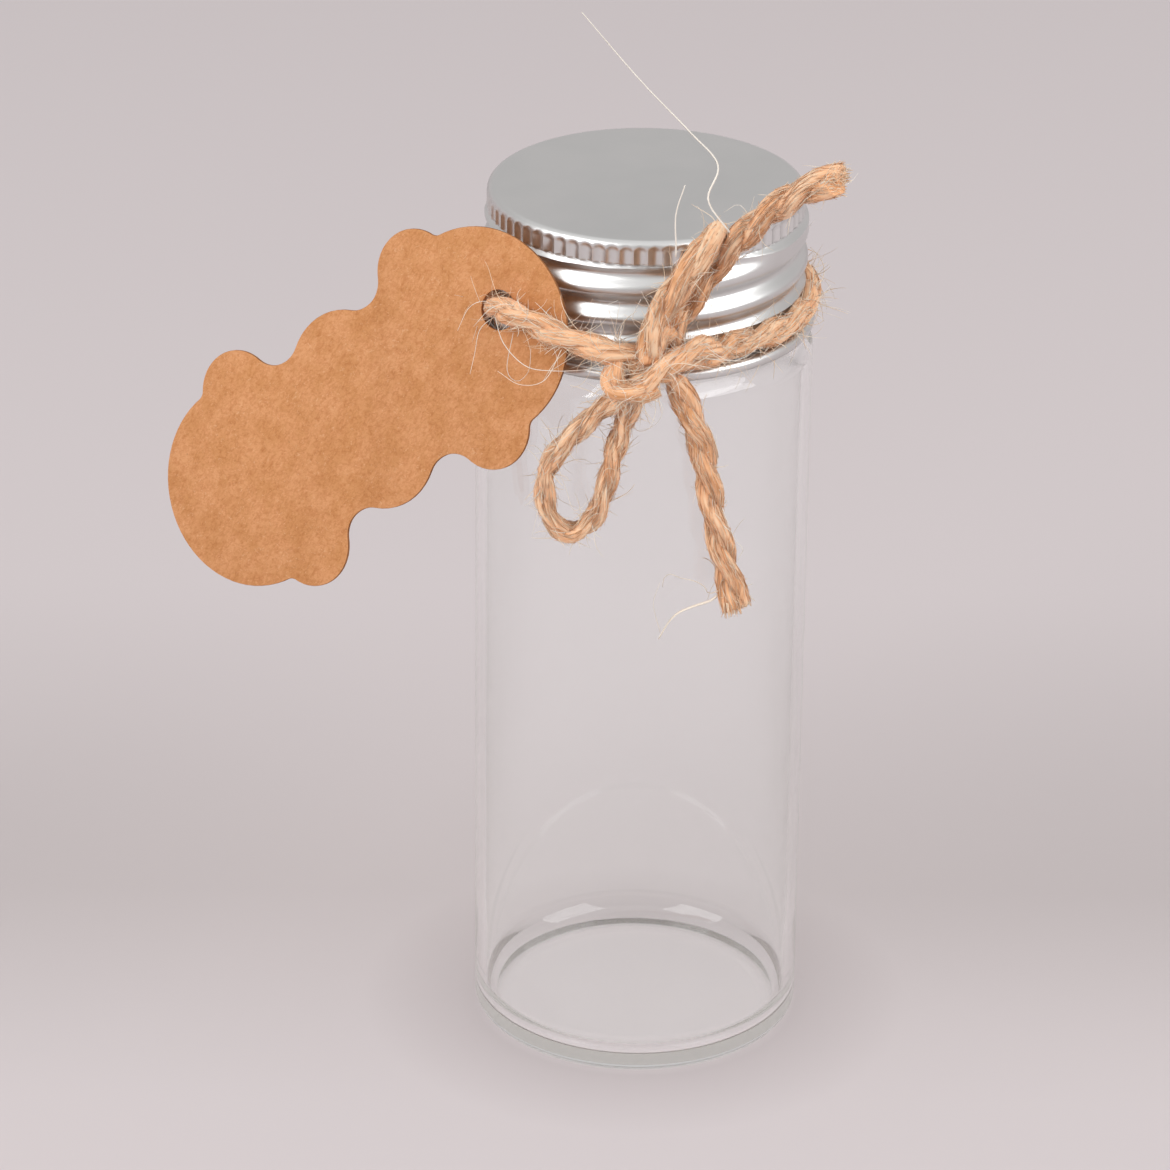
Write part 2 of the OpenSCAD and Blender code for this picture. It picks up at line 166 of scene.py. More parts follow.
def linear(hex_code):
    """Turns an sRGB hex colour into Blender's linear colour."""
    parts = [int(hex_code[i:i + 2], 16) / 255 for i in (1, 3, 5)]
    return [*(c / 12.92 if c <= 0.04045 else ((c + 0.055) / 1.055) ** 2.4 for c in parts), 1.0]


def add_node(tree, kind, inputs=None, **settings):
    """Adds a node with its settings; an input is a value, or another node's output to link."""
    made = tree.nodes.new(kind)
    for key, value in settings.items():
        setattr(made, key, value)
    for key, value in (inputs or {}).items():
        if isinstance(value, bpy.types.NodeSocket):
            tree.links.new(value, made.inputs[key])
        else:
            made.inputs[key].default_value = value
    return made


def ramp(tree, factor, stops):
    """Adds a colour ramp; each stop is a position and a hex colour or a grey level."""
    made = add_node(tree, "ShaderNodeValToRGB", {"Fac": factor})
    elements = made.color_ramp.elements
    while len(elements) < len(stops):
        elements.new(0.5)
    for element, (place, colour) in zip(elements, stops):
        element.position = place
        element.color = linear(colour) if isinstance(colour, str) else (colour, colour, colour, 1)
    return made.outputs["Color"]


def mixed_colour(tree, share, first, second, kind="MIX"):
    """Mixes two colours; the mix node names several sockets alike, so they go by number."""
    made = add_node(tree, "ShaderNodeMix", {0: share, 6: first, 7: second},
                    data_type="RGBA", blend_type=kind)
    return made.outputs[2]


def mixed_shader(tree, share, first, second):
    return add_node(tree, "ShaderNodeMixShader", {0: share, 1: first, 2: second}
                    ).outputs["Shader"]


def calculated(tree, operation, first, second):
    """One sum on two values or outputs."""
    return add_node(tree, "ShaderNodeMath", {0: first, 1: second},
                    operation=operation).outputs["Value"]


def cloudy(tree, vector, scale, detail, **inputs):
    """A noise pattern; further inputs go by their names."""
    return add_node(tree, "ShaderNodeTexNoise", {"Vector": vector, "Scale": scale,
                                                 "Detail": detail, **inputs}).outputs["Fac"]


def spotted(tree, vector, scale):
    """Distance to the nearest of scattered points."""
    return add_node(tree, "ShaderNodeTexVoronoi", {"Vector": vector, "Scale": scale},
                    feature="F1").outputs["Distance"]


def bumped(tree, height, strength, depth):
    """A normal with this pattern raised on it, to a depth in metres."""
    return add_node(tree, "ShaderNodeBump", {"Height": height, "Strength": strength,
                                             "Distance": depth}).outputs["Normal"]


def millimetres(tree):
    """Object coordinates in millimetres."""
    where = add_node(tree, "ShaderNodeTexCoord").outputs["Object"]
    return add_node(tree, "ShaderNodeVectorMath", {0: where, 1: (1000, 1000, 1000)},
                    operation="MULTIPLY").outputs["Vector"]


def stretched(tree, vector, scale, turn=(0, 0, 0)):
    """The same coordinates, turned and scaled for a pattern that runs one way."""
    return add_node(tree, "ShaderNodeMapping",
                    {"Vector": vector, "Rotation": turn, "Scale": scale}).outputs["Vector"]


def new_material(name):
    """An empty material and its node tree."""
    material = bpy.data.materials.new(name)
    material.use_nodes = True
    material.node_tree.nodes.clear()
    return material, material.node_tree


def finish_tree(tree, shader, kind="ShaderNodeOutputMaterial"):
    add_node(tree, kind, {"Surface": shader})


def finish_plain(tree, inputs):
    """Ends a material with one principled shader."""
    finish_tree(tree, add_node(tree, "ShaderNodeBsdfPrincipled", inputs).outputs["BSDF"])


def clear_glass(settings):
    """Soda-lime tube glass, drawn and fire polished: clear, with a painted grey shade where the
    light has been reflected many times inside it."""
    material, tree = new_material("soda_lime_glass_fire_polished")
    # Drawing the tube leaves waves some 12 mm apart and a few hundredths deep
    waves = cloudy(tree, stretched(tree, millimetres(tree), (1, 1, 0.25)), 0.08, 1.0)
    clear = add_node(tree, "ShaderNodeBsdfPrincipled",
                     {"Base Color": linear(settings.colour_hex), "Roughness": 0.0, "IOR": 1.5,
                      "Transmission Weight": 1.0,
                      "Normal": bumped(tree, waves, 0.12, 0.00003)}).outputs["BSDF"]
    path = add_node(tree, "ShaderNodeLightPath").outputs
    falling = calculated(tree, "MAXIMUM", path["Is Shadow Ray"], path["Is Diffuse Ray"])
    # Clear glass throws next to no shadow: light that falls on the paper passes through it
    passing = add_node(tree, "ShaderNodeBsdfTransparent",
                       {"Color": linear(settings.shadow_hex)}).outputs["BSDF"]
    # After many reflections in the heel a small part of the light goes straight on, and the rest
    # is painted shade: a grey matt tone that stands in for those reflections
    edge = add_node(tree, "ShaderNodeBsdfDiffuse",
                    {"Color": linear(settings.painted_deep_shade_hex)}).outputs["BSDF"]
    spread = mixed_shader(tree, PAINTED_SHADE_SHARE, passing, edge)
    deep = calculated(tree, "GREATER_THAN", path["Ray Depth"], DEEP_RAY)
    inside = mixed_shader(tree, deep, clear, spread)
    finish_tree(tree, mixed_shader(tree, falling, inside, passing))
    return material


def rolled_aluminium(settings):
    """Aluminium sheet, drawn and rolled, under a clear lacquer: bright, slightly satin, with
    fine turning lines round the skirt and a plain soft face on top."""
    material, tree = new_material("aluminium_sheet_rolled_lacquered")
    where = millimetres(tree)
    # Rolling leaves lines round the cap, about 0.3 mm apart, drawn coarse enough to show
    lines = cloudy(tree, stretched(tree, where, (0.06, 0.06, 3.2)), 1.0, 3.0)
    tone = ramp(tree, cloudy(tree, where, 0.09, 2.0),
                [(0.3, settings.colour_hex), (0.7, settings.light_hex)])
    # Specks of dust and scratches, some 0.3 mm wide and 12 mm apart
    speck = ramp(tree, spotted(tree, where, 0.085), [(0.018, 0.45), (0.03, 0.0)])
    rough = add_node(tree, "ShaderNodeMapRange",
                     {"Value": lines, "To Min": settings.roughness - 0.03,
                      "To Max": settings.roughness + 0.04}).outputs["Result"]
    finish_plain(tree, {"Base Color": mixed_colour(tree, speck, tone, linear("#8E8E8C")),
                        "Metallic": 1.0, "Roughness": rough,
                        "Normal": bumped(tree, lines, 0.05, 0.00002)})
    return material


def liner_foam():
    """Closed-cell polyethylene foam, extruded and stamped: white, matt and finely pitted."""
    material, tree = new_material("polyethylene_foam_stamped")
    # Cells about 0.4 mm across
    cells = spotted(tree, millimetres(tree), 2.5)
    finish_plain(tree, {"Base Color": ramp(tree, cells, [(0.0, "#F1F1EC"), (0.7, "#E2E2DC")]),
                        "Roughness": 0.8, "IOR": 1.5,
                        "Normal": bumped(tree, cells, 0.3, 0.0001)})
    return material


def kraft_card(settings, cut_edge=False):
    """Kraft card, unbleached sulphate pulp, pressed and die cut: warm brown with paler and darker
    fibres lying every way, a soft cloudy tone, and no gloss. The cut edge is darker."""
    material, tree = new_material("kraft_card_cut_edge" if cut_edge else "kraft_card_pressed")
    where = millimetres(tree)
    # Pulp clouds 3 to 6 mm across
    cloud = cloudy(tree, where, 0.3, 4.0, Roughness=0.6)
    tones = ("#8F5F3C", "#A9744B") if cut_edge else (settings.shade_hex, settings.colour_hex)
    colour = ramp(tree, cloud, [(0.38, tones[0]), (0.62, tones[1])])
    height = cloud
    # Fibres about 0.3 mm wide and 2 to 3 mm long in three directions, wide enough to show
    for turn, dark in ((0.35, "#EADBCB"), (1.4, "#EEE0D2"), (2.5, "#E8D8C8")):
        lying = stretched(tree, where, (0.5, 2.6, 0.5 + turn * 0.7), (turn, 0.5 * turn, turn))
        fibre = cloudy(tree, lying, 1.0, 2.0, Distortion=1.2)
        shade = ramp(tree, fibre, [(0.36, dark), (0.52, "#FFFFFF")])
        colour = mixed_colour(tree, 0.45, colour, shade, "MULTIPLY")
        height = calculated(tree, "ADD", height, fibre)
    # Pale fibres on the surface, and specks of bark 0.2 mm across
    pale = cloudy(tree, stretched(tree, where, (0.8, 3.0, 1.6), (0.9, 0.4, 0.2)), 1.0, 1.0,
                  Distortion=2.0)
    speck = spotted(tree, where, 0.3)
    for share, tone in ((ramp(tree, pale, [(0.64, 0.0), (0.74, 0.3)]), "#EBC49C"),
                        (ramp(tree, speck, [(0.03, 0.35), (0.055, 0.0)]), "#96633E")):
        colour = mixed_colour(tree, share, colour, linear(tone))
    finish_plain(tree, {"Base Color": colour, "Roughness": 0.85, "IOR": 1.5,
                        "Specular IOR Level": 0.25,
                        "Normal": bumped(tree, height, 0.3, 0.00006)})
    return material


def jute_fibre(settings, stray=False):
    """Jute, spun from bast fibre and plied: straw brown, with fine lines along each ply, darker
    between the plies, and a dry soft sheen. A stray fibre is paler."""
    material, tree = new_material("jute_stray_fibre" if stray else "jute_spun_plied")
    # The map runs along the ply in millimetres, and once round it
    along = add_node(tree, "ShaderNodeUVMap", uv_map="ply").outputs["UV"]
    tint = add_node(tree, "ShaderNodeAttribute", attribute_name="tint").outputs["Fac"]
    light = settings.stray_hex if stray else settings.light_hex
    # Fibres about 0.15 mm wide and 5 mm long
    lines = cloudy(tree, stretched(tree, along, (0.16, 14.0, 1.0)), 1.0, 4.0, Distortion=0.5)
    patch = cloudy(tree, stretched(tree, along, (0.35, 1.2, 1.0)), 1.0, 2.0)
    shade = calculated(tree, "ADD", calculated(tree, "ADD", lines, patch), tint)
    tone = ramp(tree, calculated(tree, "MULTIPLY", shade, 0.4),
                [(0.38, settings.dark_hex), (0.52, settings.colour_hex), (0.68, light),
                 (1.0, "#FFF7EC" if stray else light)])
    finish_plain(tree, {"Base Color": tone, "Roughness": 0.7, "IOR": 1.5,
                        "Specular IOR Level": 0.3, "Sheen Weight": 0.25, "Sheen Roughness": 0.4,
                        "Normal": bumped(tree, lines, 0.6, 0.00012)})
    return material


def studio_paper(settings):
    """Seamless background paper, matt and pale: plain, with a painted band of shade behind the
    object where the paper would start to rise."""
    material, tree = new_material("seamless_paper_matt")
    where = millimetres(tree)
    depth = add_node(tree, "ShaderNodeSeparateXYZ", {"Vector": where}).outputs["Y"]
    place = add_node(tree, "ShaderNodeMapRange",
                     {"Value": depth, "From Min": -200.0, "From Max": 1400.0}).outputs["Result"]
    # Painted shade: a darker band behind the base, standing for the shade where the paper curves
    # up
    tone = ramp(tree, place, [(0.0, settings.near_hex), (0.105, settings.near_hex),
                              (0.145, settings.painted_cove_shade_hex), (0.21, settings.far_hex),
                              (1.0, settings.far_hex)])
    # Painted reflection: seen through the glass its colour is made a little paler, standing for
    # the studio's haze of reflections
    through = add_node(tree, "ShaderNodeLightPath").outputs["Is Transmission Ray"]
    tone = mixed_colour(tree, calculated(tree, "MULTIPLY", through, PAINTED_HAZE_SHARE), tone,
                        linear("#FFF4F4"))
    # Painted shadow: a faint darker ring on the paper round the heel, for the little light that
    # the thick glass keeps from it
    level = add_node(tree, "ShaderNodeVectorMath", {0: where, 1: (1, 1, 0)},
                     operation="MULTIPLY").outputs["Vector"]
    away = add_node(tree, "ShaderNodeVectorMath", {0: level}, operation="LENGTH").outputs["Value"]
    ring = ramp(tree, calculated(tree, "DIVIDE", away, PAINTED_SHADOW_R),
                [(0.4, "#FFFFFF"), (0.475, "#EDECEC"), (0.52, "#F1F0F0"), (0.8, "#FFFFFF")])
    finish_plain(tree, {"Base Color": mixed_colour(tree, 1.0, tone, ring, "MULTIPLY"),
                        "Roughness": 0.9, "IOR": 1.5, "Specular IOR Level": 0.1})
    return material


def deselect():
    if bpy.context.object and bpy.context.object.mode != "OBJECT":
        bpy.ops.object.mode_set(mode="OBJECT")
    bpy.ops.object.select_all(action="DESELECT")


def activate(*pieces):
    """Selects these objects alone, the first one active."""
    deselect()
    for piece in pieces:
        piece.select_set(True)
    bpy.context.view_layer.objects.active = pieces[0]


def arc(centre, radius, start, end, steps):
    """Points on an arc, with angles in degrees."""
    angles = [math.radians(start + (end - start) * i / steps) for i in range(steps + 1)]
    return [(centre[0] + radius * math.cos(a), centre[1] + radius * math.sin(a)) for a in angles]


def straight(start, end, spacing):
    """Points from start up to but not at the end, about that far apart."""
    steps = max(1, round(math.dist(start, end) / spacing))
    return [(start[0] + (end[0] - start[0]) * i / steps,
             start[1] + (end[1] - start[1]) * i / steps) for i in range(steps)]


def straights(corners):
    """Points on straight lines through corners, each with the spacing that follows it; the last
    corner is left out."""
    points = []
    for (start, spacing), (end, _) in zip(corners, corners[1:]):
        points += straight(start, end, spacing)
    return points


def groove_start(pitch):
    """Height of the middle of the cap's groove where it starts."""
    return CAP_TOP - GRIP_LOW - GROOVE_DROP - GROOVE_TURNS * pitch + pitch / 6


def turned(name, profile, segments):
    """A turned piece: a chain of edges is extruded through the profile and spun round the axis."""
    deselect()
    bpy.ops.mesh.primitive_plane_add(size=MM, location=(0, 0, 0))
    piece = bpy.context.object
    piece.name = piece.data.name = name
    bpy.ops.object.mode_set(mode="EDIT")
    bpy.ops.mesh.select_all(action="SELECT")
    bpy.ops.mesh.merge(type="CENTER")
    here = (profile[0][0] * MM, 0, profile[0][1] * MM)
    bpy.ops.transform.translate(value=here)
    for radius, height in profile[1:]:
        there = (radius * MM, 0, height * MM)
        step = tuple(b - a for a, b in zip(here, there))
        bpy.ops.mesh.extrude_region_move(TRANSFORM_OT_translate={"value": step})
        here = there
    bpy.ops.mesh.select_all(action="SELECT")
    bpy.ops.mesh.spin(steps=segments, angle=2 * math.pi, center=(0, 0, 0), axis=(0, 0, 1))
    bpy.ops.mesh.select_all(action="SELECT")
    bpy.ops.mesh.remove_doubles(threshold=0.002 * MM)
    bpy.ops.mesh.normals_make_consistent(inside=False)
    bpy.ops.object.mode_set(mode="OBJECT")
    return piece


def smooth(piece, degrees):
    activate(piece)
    bpy.ops.object.shade_smooth_by_angle(angle=math.radians(degrees))


def reshape(piece, move):
    """Moves each vertex by a function of its radius, angle and height in millimetres."""
    flat = np.empty(len(piece.data.vertices) * 3, dtype=np.float32)
    piece.data.vertices.foreach_get("co", flat)
    places = flat.reshape(-1, 3).astype(np.float64) / MM
    radius = np.hypot(places[:, 0], places[:, 1])
    angle = np.degrees(np.arctan2(places[:, 1], places[:, 0]))
    fresh = move(radius, angle, places[:, 2])
    scale = np.where(radius > 1e-6, fresh / np.maximum(radius, 1e-6), 1.0)
    places[:, 0] *= scale
    places[:, 1] *= scale
    piece.data.vertices.foreach_set("co", (places * MM).astype(np.float32).ravel())
    piece.data.update()


def helix_share(angle, height, start_z, pitch, turns, half_width):
    """How fully a helical form is there, from 0 to 1, at each angle and height."""
    share = np.zeros_like(height)
    for turn in range(-1, int(turns) + 2):
        run = (angle - THREAD_ANGLE) % 360 + 360 * turn
        centre = start_z + pitch * run / 360
        across = np.clip(np.abs(height - centre) / half_width, 0, 1)
        form = 0.5 + 0.5 * np.cos(np.pi * across)
        ends = np.clip(np.minimum(run, 360 * turns - run) / RUNOUT, 0, 1)
        form *= ends * ends * (3 - 2 * ends)
        share = np.maximum(share, form)
    return share


def smooth_route(points, spacing=0.4):
    """A smooth line through given points (millimetres above the lip), evenly spaced."""
    knots = [np.array((x, y, z + LIP_Z), dtype=float) for x, y, z in points]
    knots = [2 * knots[0] - knots[1]] + knots + [2 * knots[-1] - knots[-2]]
    line = []
    for a, b, c, d in zip(knots, knots[1:], knots[2:], knots[3:]):
        for t in np.linspace(0, 1, 12, endpoint=False):
            line.append(0.5 * (2 * b + (c - a) * t + (2 * a - 5 * b + 4 * c - d) * t ** 2
                               + (3 * b - a - 3 * c + d) * t ** 3))
    line.append(knots[-2])
    line = np.array(line)
    steps = np.concatenate([[0], np.cumsum(np.linalg.norm(np.diff(line, axis=0), axis=1))])
    even = np.linspace(0, steps[-1], max(4, int(steps[-1] / spacing)))
    return np.stack([np.interp(even, steps, line[:, k]) for k in range(3)], axis=1)


def carried_frame(line):
    """Direction of a line and two side directions carried along it without twist."""
    ahead = np.gradient(line, axis=0)
    ahead /= np.linalg.norm(ahead, axis=1)[:, None]
    side = np.array((0.1, 0.2, 1.0))
    sides = []
    for d in ahead:
        side = side - d * side.dot(d)
        side /= np.linalg.norm(side)
        sides.append(side)
    sides = np.array(sides)
    return ahead, sides, np.cross(ahead, sides)


def sweep_tubes(name, tubes, sides):
    """One mesh of round tubes. Each tube is a centreline, a radius at each point, a tint, the
    length that its map starts from, and how far its section is lobed."""
    rings = np.linspace(0, 2 * math.pi, sides, endpoint=False)
    places, faces, maps, tints = [], [], [], []
    base = 0
    for line, radii, tint, start, lobes in tubes:
        _, u, v = carried_frame(line)
        count = len(line)
        length = start + np.concatenate(
            [[0], np.cumsum(np.linalg.norm(np.diff(line, axis=0), axis=1))])
        round_ = rings[None, :] + np.zeros((count, 1))
        wide = radii[:, None] * (1 + lobes * np.sin(3 * round_ + length[:, None] * 0.55 + tint * 9)
                                 + lobes * np.sin(5 * round_ - length[:, None] * 0.4 + tint * 5))
        shell = (line[:, None, :] + u[:, None, :] * (wide * np.cos(round_))[:, :, None]
                 + v[:, None, :] * (wide * np.sin(round_))[:, :, None])
        places.append(shell.reshape(-1, 3))
        for i in range(count - 1):
            low, high = base + i * sides, base + (i + 1) * sides
            for j in range(sides):
                k = (j + 1) % sides
                faces.append((low + j, low + k, high + k, high + j))
                maps += [(length[i], j / sides), (length[i], (j + 1) / sides),
                         (length[i + 1], (j + 1) / sides), (length[i + 1], j / sides)]
        for at, order in ((0, range(sides)[::-1]), (count - 1, range(sides))):
            faces.append(tuple(base + at * sides + j for j in order))
            maps += [(length[at], j / sides) for j in order]
        tints.append(np.full(count * sides, tint))
        base += count * sides
    mesh = bpy.data.meshes.new(name)
    mesh.from_pydata((np.concatenate(places) * MM).tolist(), [], faces)
    layer = mesh.uv_layers.new(name="ply")
    layer.data.foreach_set("uv", np.array(maps, dtype=np.float32).ravel())
    shade = mesh.attributes.new("tint", "FLOAT", "POINT")
    shade.data.foreach_set("value", np.concatenate(tints).astype(np.float32))
    mesh.polygons.foreach_set("use_smooth", [len(p.vertices) == 4 for p in mesh.polygons])
    piece = bpy.data.objects.new(name, mesh)
    bpy.context.collection.objects.link(piece)
    return piece


def ply_lines(line, settings, rng, flat=None, loose=((0, 0.0),), open_end=0.0):
    """The two plies of the twine, twisted to the left round its centreline. How loose they lie
    is given at distances from the start, in millimetres; a negative one is from the end."""
    _, u, v = carried_frame(line)
    spacing = np.linalg.norm(np.diff(line, axis=0), axis=1).mean()
    length = np.arange(len(line)) * spacing
    total = length[-1]
    lay = settings.lay / MM
    phase = rng.uniform(0, 6.28)
    wander = np.array([noise(Vector((s * 0.12, phase, 0))) for s in length])
    slack = np.interp(length, [at if at >= 0 else total + at for at, _ in loose],
                      [share for _, share in loose])
    # A loose stretch turns more slowly
    turned_by = np.cumsum(2 * math.pi * spacing / (lay * (1 + 0.5 * slack)))
    plies = []
    for ply in range(2):
        turn = phase - turned_by + ply * math.pi + 0.5 * wander
        swell = np.array([noise(Vector((s * 0.3, phase + ply * 7, 3))) for s in length])
        offset = settings.diameter / MM * PLY_OFFSET * (1 + 0.6 * slack + 0.12 * swell)
        radius = settings.diameter / MM * PLY_RADIUS * (1 + 0.35 * slack + 0.1 * swell)
        if open_end > 0:
            spread = np.clip(1 - (total - length) / open_end, 0, 1) ** 2
            offset = offset * (1 + 0.25 * spread)
            radius = radius * (1 + 0.16 * spread)
        shift = (u * np.cos(turn)[:, None] + v * np.sin(turn)[:, None]) * offset[:, None]
        if flat is not None:
            shift = flat(line, shift)
        plies.append((line + shift, radius))
    return plies, length


def fibre_tubes(plies, length, rng, per_mm, strays, reach):
    """Fibres that lie along the plies, and strays that lift off them. The strays' number for
    each millimetre is given at distances from the start, as the looseness is."""
    tubes = []
    total = length[-1]
    spacing = length[1] - length[0]
    frames = [carried_frame(centre) for centre, _ in plies]
    for _ in range(int(total * per_mm)):
        ply = rng.randrange(2)
        centre, radius = plies[ply]
        run = rng.uniform(*LYING_RUN)
        first = rng.uniform(-run * 0.3, total - 2)
        i0 = max(0, int(first / spacing))
        i1 = min(len(length) - 1, int((first + run) / spacing))
        if i1 - i0 < 6:
            continue
        pick = np.linspace(i0, i1, max(5, (i1 - i0) // 4)).astype(int)
        _, u, v = frames[ply]
        start = rng.uniform(0, 6.28)
        twist = rng.uniform(-0.05, 0.22)
        angle = start + twist * (length[pick] - length[i0]) + np.array(
            [0.5 * noise(Vector((s * 0.35, start, 5))) for s in length[pick]])
        ends = np.linspace(-1, 1, len(pick))
        lift = radius[pick] * rng.uniform(0.97, 1.07) + 0.4 * rng.random() ** 2 * ends ** 2 - 0.03
        line = (centre[pick] + u[pick] * (np.cos(angle) * lift)[:, None]
                + v[pick] * (np.sin(angle) * lift)[:, None])
        thick = rng.uniform(*LYING_THICK) * (1 - 0.6 * np.abs(ends) ** 4)
        tubes.append((line, thick, rng.uniform(*LYING_TINT), rng.uniform(0, 99), 0.0))
    places = [at if at >= 0 else total + at for at, _ in strays]
    rates = [rate for _, rate in strays]
    chance = np.cumsum(np.interp(length, places, rates)) * spacing
    for _ in range(int(chance[-1])):
        ply = rng.randrange(2)
        centre, radius = plies[ply]
        i = int(np.clip(np.searchsorted(chance, rng.uniform(0, chance[-1])), 2, len(length) - 4))
        a, s, w = (side[i] for side in frames[ply])
        start = rng.uniform(0, 6.28)
        out = s * math.cos(start) + w * math.sin(start)
        here = centre[i] + out * radius[i] * 0.85
        heading = rng.choice((-1, 1)) * a + out * rng.uniform(0.15, 0.9)
        curl = np.array([rng.gauss(0, 0.09) for _ in range(3)])
        size = min(max(rng.expovariate(1 / reach), 0.8), reach * 3)
        steps = max(6, int(size / STRAY_STEP))
        line = [here]
        for _ in range(steps):
            curl += np.array([rng.gauss(0, 0.03) for _ in range(3)])
            heading = heading + curl
            heading /= np.linalg.norm(heading)
            here = here + heading * size / steps
            away = math.hypot(here[0], here[1])
            if away < CLEAR_R:
                here = here * np.array((CLEAR_R / away, CLEAR_R / away, 1))
            line.append(here)
        thick = rng.uniform(*STRAY_THICK) * (1 - 0.6 * np.linspace(0, 1, steps + 1) ** 3)
        tubes.append((np.array(line), thick, rng.uniform(*STRAY_TINT), rng.uniform(0, 99), 0.0))
    return tubes


def frayed_end(plies, ahead, rng):
    """Fibres that fan out past a cut end."""
    tubes = []
    for _ in range(FRAY_COUNT):
        centre, radius = plies[rng.randrange(2)]
        around = np.array([rng.gauss(0, 1) for _ in range(3)])
        around -= ahead * around.dot(ahead)
        around /= np.linalg.norm(around)
        here = centre[-1] + around * radius[-1] * rng.uniform(0, 0.95) - ahead * 1.5
        heading = ahead + around * rng.uniform(0.02, 0.35)
        size = 1.5 + rng.uniform(0.2, 1.0) * FRAY_REACH
        steps = 8
        line = [here]
        for _ in range(steps):
            heading = heading + np.array([rng.gauss(0, 0.08) for _ in range(3)])
            heading /= np.linalg.norm(heading)
            here = here + heading * size / steps
            line.append(here)
        thick = rng.uniform(0.06, 0.14) * (1 - 0.6 * np.linspace(0, 1, steps + 1) ** 2)
        tubes.append((np.array(line), thick, rng.uniform(0.3, 1.0), rng.uniform(0, 99), 0.0))
    return tubes


def round_band(line, shift):
    """Presses the twine flat against the cap where it lies round it."""
    out = line * np.array((1, 1, 0))
    out /= np.maximum(np.linalg.norm(out, axis=1), 1e-6)[:, None]
    away = np.linalg.norm(line[:, :2], axis=1)
    press = np.clip((PRESS_R - away) / 1.2, 0, 1)[:, None]
    inward = (shift * out).sum(1)[:, None] * out
    upward = shift * np.array((0, 0, 1))
    return shift - inward * 0.38 * press + upward * 0.3 * press


def twine_piece(name, routes, settings, rng, **shape):
    """One mesh of twisted plies for one or more routes, and each route's line, plies and
    distances from its start."""
    tubes, lines = [], []
    for points in routes:
        line = smooth_route(points)
        plies, length = ply_lines(line, settings, rng, **shape)
        for centre, radius in plies:
            tubes.append((centre, radius, rng.uniform(0.2, 0.5), rng.uniform(0, 99), 0.06))
        lines.append((line, plies, length))
    return sweep_tubes(name, tubes, PLY_SIDES), lines


def dress_twine(piece, node, fibres):
    """Gives a stretch of twine its material and body, and adds its fibres as a second piece."""
    piece.data.materials.append(bpy.data.materials["jute_spun_plied"])
    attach(piece, "cap")
    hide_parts(node)
    fuzz = sweep_tubes(piece.name + "_fibres", fibres, FIBRE_SIDES)
    fuzz.data.materials.append(bpy.data.materials["jute_stray_fibre"])
    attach(fuzz, "cap")


class BottleSizes(bpy.types.PropertyGroup):
    """Sizes and colour of the glass bottle."""
    wall: bpy.props.FloatProperty(
        name="Wall", description="Thickness of the glass wall", default=1.6 * MM,
        min=0.5 * MM, unit="LENGTH")
    floor: bpy.props.FloatProperty(
        name="Floor", description="Thickness of the floor at its edge", default=1.6 * MM,
        min=1 * MM, unit="LENGTH")
    colour_hex: bpy.props.StringProperty(
        name="Glass colour", description="Tint of the glass, as an sRGB hex value",
        default="#FEFFFF")
    # Painted shade: the grey that deep paths in the glass show in place of their reflections
    painted_deep_shade_hex: bpy.props.StringProperty(
        name="Painted glass shade", description="Painted grey shade that deep glass rays show", default="#B8B5B0")
    shadow_hex: bpy.props.StringProperty(
        name="Glass shadow", description="What each surface of the glass leaves of the light "
        "that falls through it", default="#FEFEFE")


class CapSizes(bpy.types.PropertyGroup):
    """Sizes and finish of the screw cap."""
    teeth: bpy.props.IntProperty(
        name="Teeth", description="Number of flutes round the grip band", default=72, min=12)
    tooth_depth: bpy.props.FloatProperty(
        name="Flute depth", description="Depth of the flutes", default=0.4 * MM,
        min=0.0, unit="LENGTH")
    pitch: bpy.props.FloatProperty(
        name="Pitch", description="Rise of the thread in one turn", default=PITCH * MM,
        min=1 * MM, unit="LENGTH")
    roughness: bpy.props.FloatProperty(
        name="Roughness", description="Roughness of the lacquered metal", default=0.33,
        min=0.0, max=1.0, subtype="FACTOR")
    colour_hex: bpy.props.StringProperty(
        name="Metal colour", description="Aluminium, as an sRGB hex value", default="#D9D9D8")
    light_hex: bpy.props.StringProperty(
        name="Bright metal colour", description="Aluminium where it is cleanest",
        default="#DFDEDD")


class TagColours(bpy.types.PropertyGroup):
    """Colours of the kraft card."""
    colour_hex: bpy.props.StringProperty(
        name="Card colour", description="Kraft card, as an sRGB hex value", default="#DA9D6D")
    shade_hex: bpy.props.StringProperty(
        name="Card shade", description="Darker clouds in the card", default="#CE915E")


class TwineSizes(bpy.types.PropertyGroup):
    """Sizes and colours of the jute twine."""
    diameter: bpy.props.FloatProperty(
        name="Diameter", description="Diameter of the twine", default=2.8 * MM,
        min=1 * MM, unit="LENGTH")
    lay: bpy.props.FloatProperty(
        name="Lay", description="Length of one full turn of the plies", default=11 * MM,
        min=4 * MM, unit="LENGTH")
    colour_hex: bpy.props.StringProperty(
        name="Jute colour", description="Jute, as an sRGB hex value", default="#F8C194")
    light_hex: bpy.props.StringProperty(
        name="Pale jute", description="The palest fibres", default="#FFE0BE")
    dark_hex: bpy.props.StringProperty(
        name="Dark jute", description="The darkest fibres", default="#D0925F")
    stray_hex: bpy.props.StringProperty(
        name="Stray fibre colour", description="Fibres that stand off", default="#FFE8CB")


